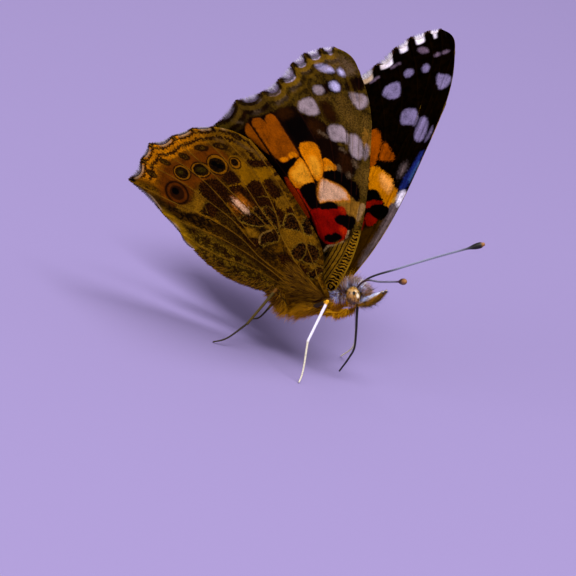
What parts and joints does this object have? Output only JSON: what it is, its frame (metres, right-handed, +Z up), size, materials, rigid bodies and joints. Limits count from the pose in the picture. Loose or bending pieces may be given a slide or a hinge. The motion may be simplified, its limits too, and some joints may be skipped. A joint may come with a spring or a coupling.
{
  "type": "painted lady butterfly model",
  "caption": "Life-size still model of a painted lady butterfly, standing on its middle and hind feet with its patterned wings raised in a V.",
  "frame": {"origin": "centre of the bounding box's base, on the level that the feet stand on", "axes": "+X towards the head, +Y towards the butterfly's left, +Z up"},
  "size_m": [0.0372, 0.0322, 0.0394],
  "materials": {
    "body_fur": "brown and orange-brown hair-like scales",
    "head_fur": "silvery and tan hair-like scales",
    "eyes": "tan compound eyes with a satin gloss",
    "tongue": "smooth dark brown",
    "antennae": "black with pale rings and a brown tip",
    "legs": "pale scaled legs with small dark spines",
    "forewings": "scaled membrane, orange, black and white",
    "hindwings": "scaled membrane, marbled brown and ochre with eyespots"
  },
  "bodies": {
    "root": {"thorax": "body_fur", "abdomen": "body_fur", "head": "head_fur", "eye_right": "eyes", "eye_left": "eyes", "palp_right": "head_fur", "palp_left": "head_fur", "proboscis": "tongue", "antenna_right": "antennae", "antenna_left": "antennae", "foreleg_right": "body_fur", "foreleg_left": "body_fur", "forewing_right": "forewings", "forewing_left": "forewings", "hindwing_right": "hindwings", "hindwing_left": "hindwings", "midleg_right_femur": "legs", "midleg_right_tibia": "legs", "midleg_right_tarsus": "legs", "midleg_left_femur": "legs", "midleg_left_tibia": "legs", "midleg_left_tarsus": "legs", "hindleg_right_femur": "legs", "hindleg_right_tibia": "legs", "hindleg_right_tarsus": "legs", "hindleg_left_femur": "legs", "hindleg_left_tibia": "legs", "hindleg_left_tarsus": "legs"}
  },
  "joints": []
}
